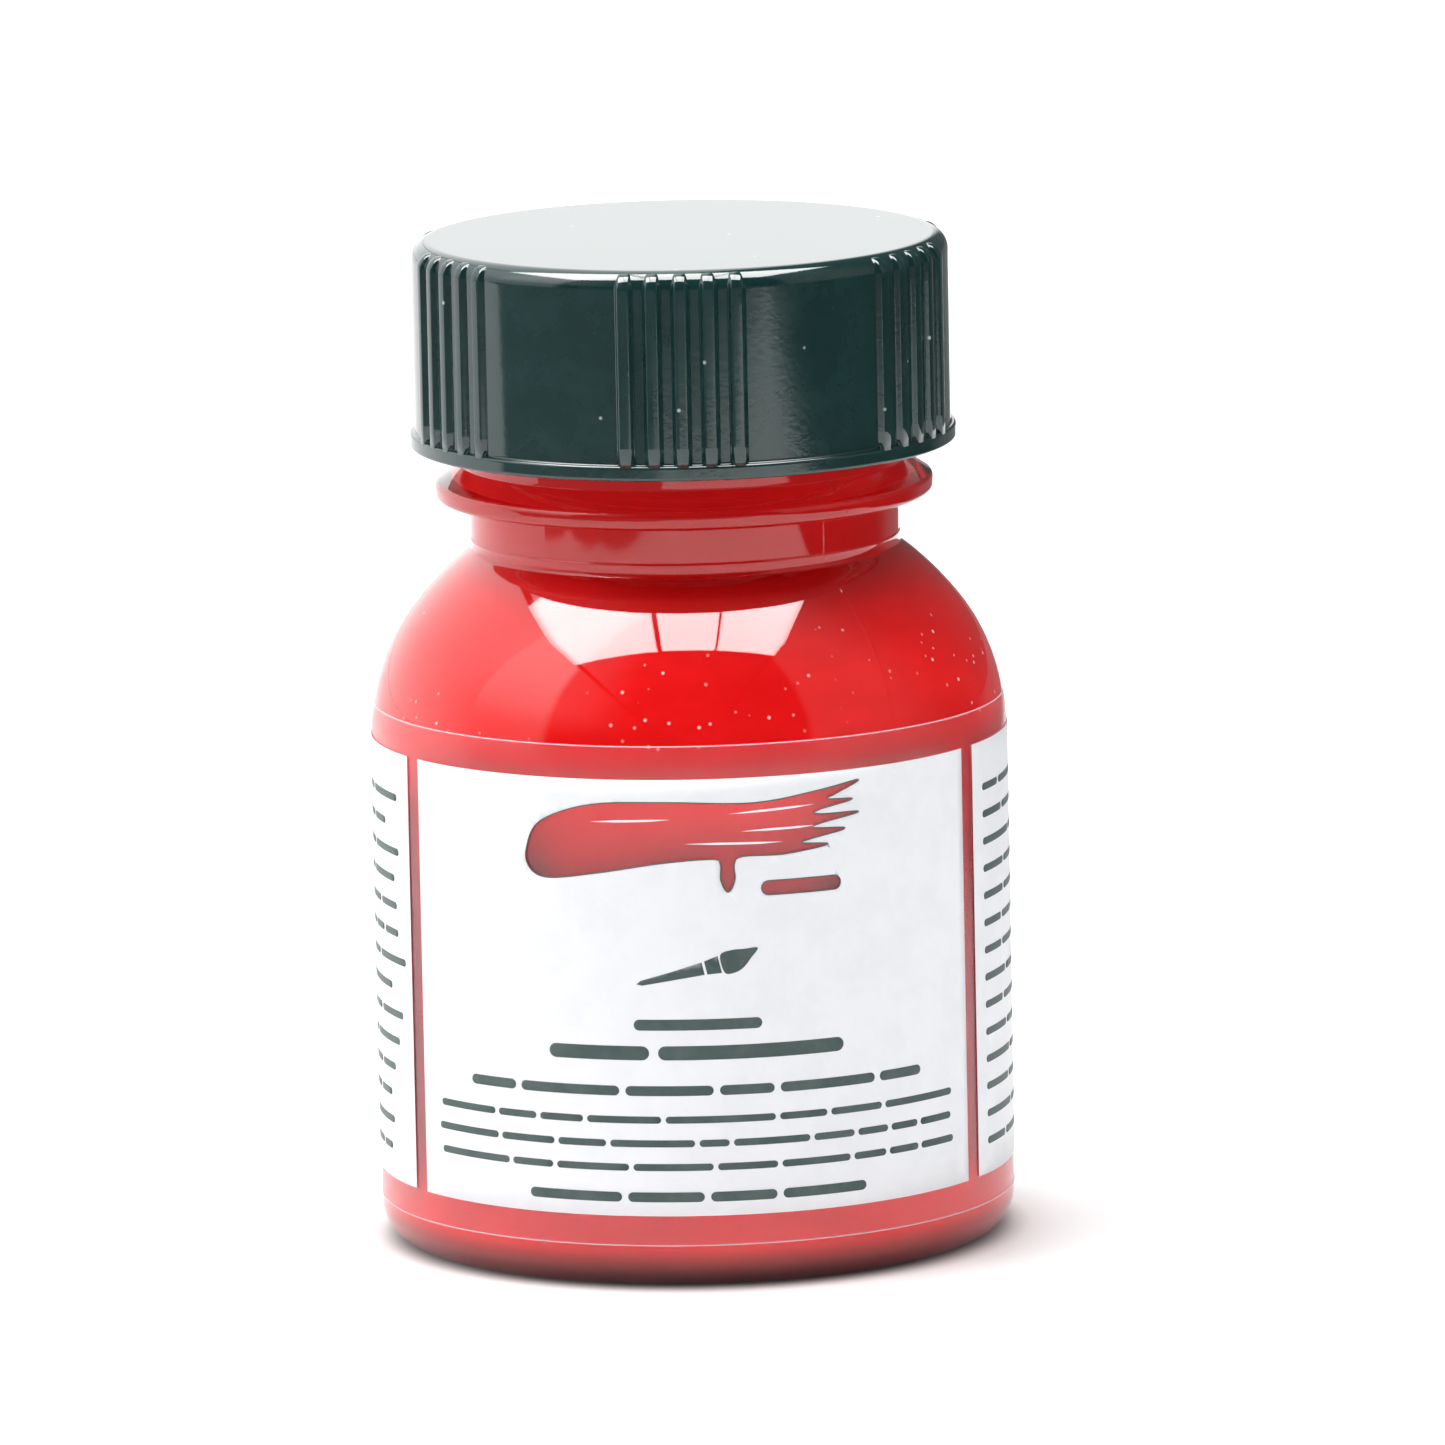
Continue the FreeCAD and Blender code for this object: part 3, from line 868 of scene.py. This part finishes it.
def ribs_round_cap(rib, material):
    """A Geometry Nodes tree that sets a rib in groups all round the cap and joins them to the shell."""
    tree = bpy.data.node_groups.new("ribs_round_cap", "GeometryNodeTree")
    face = tree.interface
    face.new_socket("Shell", in_out="INPUT", socket_type="NodeSocketGeometry")
    face.new_socket("Rib", in_out="INPUT", socket_type="NodeSocketObject")
    face.new_socket("Groups", in_out="INPUT", socket_type="NodeSocketInt")
    face.new_socket("Ribs in a group", in_out="INPUT", socket_type="NodeSocketInt")
    face.new_socket("Spacing", in_out="INPUT", socket_type="NodeSocketFloat")
    face.new_socket("Ribbed shell", in_out="OUTPUT", socket_type="NodeSocketGeometry")

    def node(kind, settings, inputs):
        made = tree.nodes.new(kind)
        for setting, value in settings.items():
            setattr(made, setting, value)
        for socket, value in inputs.items():
            if isinstance(value, bpy.types.NodeSocket):
                tree.links.new(value, made.inputs[socket])
            else:
                made.inputs[socket].default_value = value
        return made

    def maths(operation, first, second):
        return node("ShaderNodeMath", {"operation": operation}, {0: first, 1: second}).outputs[0]

    given = node("NodeGroupInput", {}, {}).outputs
    total = maths("MULTIPLY", given["Groups"], given["Ribs in a group"])
    index = node("GeometryNodeInputIndex", {}, {}).outputs[0]
    group = maths("FLOOR", maths("DIVIDE", index, given["Ribs in a group"]), 0.0)
    place = maths("SUBTRACT", index, maths("MULTIPLY", group, given["Ribs in a group"]))
    middle = maths("DIVIDE", maths("SUBTRACT", given["Ribs in a group"], 1.0), 2.0)
    in_group = maths("MULTIPLY", maths("SUBTRACT", place, middle), given["Spacing"])
    of_group = maths("DIVIDE", maths("MULTIPLY", group, math.tau), given["Groups"])
    turn = node("ShaderNodeCombineXYZ", {}, {"Z": maths("ADD", in_group, of_group)}).outputs[0]
    spots = node("GeometryNodePoints", {}, {"Count": total}).outputs[0]
    shape = node("GeometryNodeObjectInfo", {}, {"Object": given["Rib"]}).outputs["Geometry"]
    copies = node("GeometryNodeInstanceOnPoints", {},
                  {"Points": spots, "Instance": shape, "Rotation": turn}).outputs[0]
    joined = tree.nodes.new("GeometryNodeJoinGeometry")
    tree.links.new(copies, joined.inputs[0])
    tree.links.new(given["Shell"], joined.inputs[0])
    real = node("GeometryNodeRealizeInstances", {}, {0: joined.outputs[0]}).outputs[0]
    painted = node("GeometryNodeSetMaterial", {}, {"Geometry": real, "Material": material}).outputs[0]
    node("NodeGroupOutput", {}, {0: painted})
    return tree


def cap_plastic():
    """Dark moulded plastic: finely pitted and glossy, with light scuffs and a few grains of dust."""
    finish = Finish("cap_plastic")
    place = finish.place()
    cloud = finish.noise(260, 4.0, place, 0.6)
    pits = finish.noise(2600, 3.0, place, 0.6)
    scuff_lines = finish.noise(900, 5.0, finish.node(
        "ShaderNodeMapping", {}, {"Vector": place, "Scale": (1.0, 1.0, 0.12)}), 0.7)
    scuffs = finish.between(scuff_lines, 0.66, 0.8)
    colour = finish.blend(finish.between(cloud, 0.35, 0.7), (0.0055, 0.027, 0.026, 1),
                          (0.0085, 0.036, 0.0345, 1))
    worn = finish.blend(scuffs * 0.35, colour, (0.05, 0.08, 0.077, 1))
    grains = finish.node("ShaderNodeTexVoronoi", {"feature": "F1"}, {"Vector": place, "Scale": 700.0})
    rare = finish.axis(finish.node("ShaderNodeTexVoronoi", {"feature": "F1"}, {
        "Vector": place, "Scale": 700.0}, output="Color"), "X")
    dust = finish.between(grains, 0.04, 0.1, 1.0, 0.0) * finish.between(rare, 0.7, 0.72)
    worn = finish.blend(dust * 0.8, worn, (0.5, 0.53, 0.52, 1))
    return finish.surface({
        "Base Color": worn,
        "Roughness": 0.06 + 0.05 * cloud + 0.15 * scuffs,
        "Specular IOR Level": 0.75,
        "Normal": finish.bump(pits, 0.16, 0.02 * MM),
    })


cap_finish = cap_plastic()
cap_shell = turned("cap_shell", list(reversed(cap_profile())), all_round(256), cap_relief)
cap_shell.data.materials.append(cap_finish)
one_rib = grip_rib()
one_rib.data.materials.append(cap_finish)
ribs = cap_shell.modifiers.new("ribs", "NODES")
ribs.node_group = ribs_round_cap(one_rib, cap_finish)
settings = {"Rib": one_rib, "Groups": rib_groups, "Ribs in a group": ribs_in_group,
            "Spacing": rib_spacing}
for item in ribs.node_group.interface.items_tree:
    if item.name in settings:
        ribs[item.identifier] = settings[item.name]
bpy.context.view_layer.update()
ribbed = bpy.data.meshes.new_from_object(
    cap_shell.evaluated_get(bpy.context.evaluated_depsgraph_get()))
cap = placed("screw_cap", ribbed)
bpy.data.objects.remove(cap_shell)
bpy.data.objects.remove(one_rib)
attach(cap, "cap")
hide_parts("cap")


# ---------------------------------------------------------------- The cap's liner
# A disc of white foamed plastic pressed into the cap. The jar's rim has left a shallow ring in its
# underside.

liner_radius = liner_high.x / MM
liner_bottom = liner_low.z / MM
liner_top = liner_high.z / MM


def liner_profile():
    """From the middle of the underside, across the pressed ring, round the edge and back on top."""
    soft = 0.12
    ring_middle = (bore_radius + thread_root_radius) / 2
    under = [(0, liner_bottom), (5, liner_bottom), (9, liner_bottom)]
    for step in range(13):
        across = ring_middle - 1.5 + 3.0 * step / 12
        dent = 0.06 * math.exp(-((across - ring_middle) / 0.7) ** 2)
        under.append((across, liner_bottom + dent))
    side = (arc((liner_radius - soft, liner_bottom + soft), soft, -90, 0, 5)
            + arc((liner_radius - soft, liner_top - soft), soft, 0, 90, 5))
    return under + side + [(9, liner_top), (4, liner_top), (0, liner_top)]


def liner_foam():
    """Matte white foam with fine cells, stained faintly red where it met the paint."""
    finish = Finish("liner_foam")
    place = finish.place()
    cells = finish.node("ShaderNodeTexVoronoi", {"feature": "F1"}, {"Vector": place, "Scale": 3200.0})
    across = finish.node("ShaderNodeVectorMath", {"operation": "LENGTH"}, {
        0: finish.node("ShaderNodeVectorMath", {"operation": "MULTIPLY"}, {0: place, 1: (1, 1, 0)})},
        output="Value")
    inner = finish.between(across, 9.2 * MM, 10.8 * MM, 1.0, 0.0)
    blotch = finish.between(finish.noise(330, 4.0, place, 0.6), 0.52, 0.62)
    colour = finish.blend(inner * blotch * 0.9, (0.83, 0.82, 0.78, 1), (0.50, 0.02, 0.02, 1))
    return finish.surface({
        "Base Color": colour,
        "Roughness": 0.75 + 0.1 * blotch,
        "Normal": finish.bump(cells, 0.3, 0.03 * MM),
    })


liner = turned("foam_liner", liner_profile(), all_round(160))
liner.data.materials.append(liner_foam())
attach(liner, "liner")
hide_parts("cap_liner")


# ---------------------------------------------------------------- The studio
# A pale floor in a light tent: a soft ceiling with two seams, walls that are brighter at the left
# and behind, and a dark open front. A contact shadow is painted dark into the floor's colour under
# the foot, and the floor's outline is trimmed back at the front left and the back right, where the
# gloss of the jar and the cap shows its edge.

floor_edge = [(-0.262, -0.05), (-0.245, -0.12), (-0.19, -0.19), (-0.11, -0.25), (-0.06, -0.28),
              (-0.05, -0.325), (0.24, -0.325), (0.24, 0.0), (0.07, 0.06), (0.07, 4.0), (-4.0, 4.0),
              (-4.0, -0.05)]
floor_mesh = bpy.data.meshes.new("studio_floor")
floor_mesh.from_pydata([(x, y, 0) for x, y in floor_edge], [], [tuple(range(len(floor_edge)))])
floor = placed("studio_floor", floor_mesh)
floor_finish = Finish("pale_floor")
floor_place = floor_finish.place()
floor_x = floor_finish.axis(floor_place, "X")
floor_y = floor_finish.axis(floor_place, "Y")
# Painted contact shadow: the floor's colour turns dark within 16 mm of the jar's axis and eases back to
# pale by 19.2 mm.
from_foot = floor_x.maths("SQRT", floor_x * floor_x + floor_y * floor_y)
pale = floor_finish.blend(floor_finish.noise(9, 3.0), (0.80, 0.80, 0.80, 1), (0.83, 0.83, 0.83, 1))
floor.data.materials.append(floor_finish.surface({
    "Base Color": floor_finish.blend(floor_finish.between(from_foot, 16 * MM, 19.2 * MM, 1.0, 0.0),
                                     pale, (0.09, 0.085, 0.085, 1)),
    "Roughness": 0.7,
    "Specular IOR Level": 0.1,
}))

ceiling_front = 0.49
ceiling_back = -0.32
ceiling_left = -0.75
ceiling_right = 0.53
ceiling_light = 5.0
strip_light = 7.5
dark_light = 0.03
background_light = 1.05
seams = [(-0.15, 0.024), (0.155, 0.010)]
tent = Finish("light_tent", bpy.context.scene.world or bpy.data.worlds.new("light_tent"))
bpy.context.scene.world = tent.owner
toward = tent.node("ShaderNodeTexCoord", output="Generated")
east = tent.axis(toward, "X")
north = tent.axis(toward, "Y")
up = tent.axis(toward, "Z")
above = up.maths("MAXIMUM", up, 0.02)
ceiling_x = east / above
ceiling_y = -north / above
level = up.maths("SQRT", east * east + north * north + 0.0001)
side = east / level
ceiling = (tent.between(ceiling_x, ceiling_left - 0.02, ceiling_left + 0.02)
           * tent.between(ceiling_x, ceiling_right - 0.02, ceiling_right + 0.02, 1.0, 0.0)
           * tent.between(ceiling_y, ceiling_front - 0.02, ceiling_front + 0.02, 1.0, 0.0)
           * tent.between(ceiling_y, ceiling_back - 0.1, ceiling_back + 0.1))
for seam, width in seams:
    ceiling = ceiling * tent.between(abs(ceiling_x - seam * 1.05), width * 0.6, width * 0.6 + 0.006)
rising = tent.between(up, 0.15, 0.75)
front_walls = tent.between(side, -0.3, 0.3, 0.9, 0.36) + tent.between(side, -0.7, -0.2, 1.3, 0.0) * rising
back_walls = tent.between(side, 0.04, 0.16, 1.65, 0.09)
backward = tent.between(north / level, -0.25, 0.45)
walls = front_walls + (back_walls - front_walls) * backward
in_front = tent.between(north / level, -0.03, 0.0, 1.0, 0.0)
left_cloth = in_front * tent.between(side, -0.85, -0.35, 0.6, 0.0) * tent.between(up, 0.15, 0.45)
opening = (in_front * tent.between(side, -0.84, -0.79)
           * tent.between(side, 0.69, 0.74, 1.0, 0.0))
frame_lines = (tent.between(abs(ceiling_x - ceiling_left), 0.015, 0.03)
               * tent.between(abs(ceiling_x - ceiling_right), 0.012, 0.025))
tent_light = (walls * (1 - opening) + dark_light + left_cloth) * frame_lines + ceiling_light * ceiling
below = tent.between(up, -0.01, 0.0, 1.0, 0.0)
light = tent_light * (1 - below) + tent.between(side, 0.6, 0.85, 0.24, 0.07) * below
seen = tent.node("ShaderNodeLightPath", output="Is Camera Ray")
strength = light * (1 - seen) + seen * background_light
glow = tent.node("ShaderNodeBackground", {}, {"Color": (1.0, 1.0, 1.0, 1), "Strength": strength})
tent.node("ShaderNodeOutputWorld", {}, {"Surface": glow})

# The ceiling's bright cloth, as the gloss of the plastic shows it: three strips with seams between.
ceiling_height = 0.75
strip_edges = [ceiling_left]
for seam, width in seams:
    strip_edges += [seam - width / 2, seam + width / 2]
strip_edges.append(ceiling_right)
for index in range(0, len(strip_edges), 2):
    left, right = strip_edges[index:index + 2]
    strip_data = bpy.data.lights.new("ceiling_strip_%d" % (index // 2 + 1), "AREA")
    strip_data.shape = "RECTANGLE"
    strip_data.size = (right - left) * ceiling_height
    strip_data.size_y = (ceiling_front - ceiling_back) * ceiling_height
    strip_data.energy = strip_light * math.pi * strip_data.size * strip_data.size_y
    strip = bpy.data.objects.new(strip_data.name, strip_data)
    strip.location = ((left + right) / 2 * ceiling_height,
                      -(ceiling_front + ceiling_back) / 2 * ceiling_height, ceiling_height)
    strip.visible_camera = False
    strip.visible_diffuse = False
    strip.visible_transmission = False
    bpy.context.scene.collection.objects.link(strip)

# A soft fill from the front right, for the matt surfaces only.
fill_data = bpy.data.lights.new("soft_fill", "AREA")
fill_data.size = 0.5
fill_data.energy = 0.85
fill = bpy.data.objects.new("soft_fill", fill_data)
fill.location = (0.6, -0.36, 0.25)
fill.rotation_euler = fill.location.to_track_quat("Z", "Y").to_euler()
fill.visible_camera = False
fill.visible_glossy = False
fill.visible_transmission = False
bpy.context.scene.collection.objects.link(fill)

# The camera: a long lens a little above the jar, tipped by about one degree.
camera_data = bpy.data.cameras.new("camera")
camera_data.lens = 389
camera_data.sensor_width = 36
camera_data.clip_end = 20
camera = bpy.data.objects.new("camera", camera_data)
bpy.context.scene.collection.objects.link(camera)
aim = Vector((1.9, 0.0, 29.1)) * MM
down = math.radians(9.82)
tip = math.radians(-1.15)
distance = 0.886
camera.location = aim + Vector((0, -math.cos(down), math.sin(down))) * distance
facing = Euler((math.radians(90) - down, 0, 0)).to_matrix() @ Matrix.Rotation(tip, 3, "Z")
camera.rotation_euler = facing.to_euler()
bpy.context.scene.camera = camera
bpy.context.scene.view_settings.view_transform = "Standard"
bpy.context.scene.view_settings.look = "None"
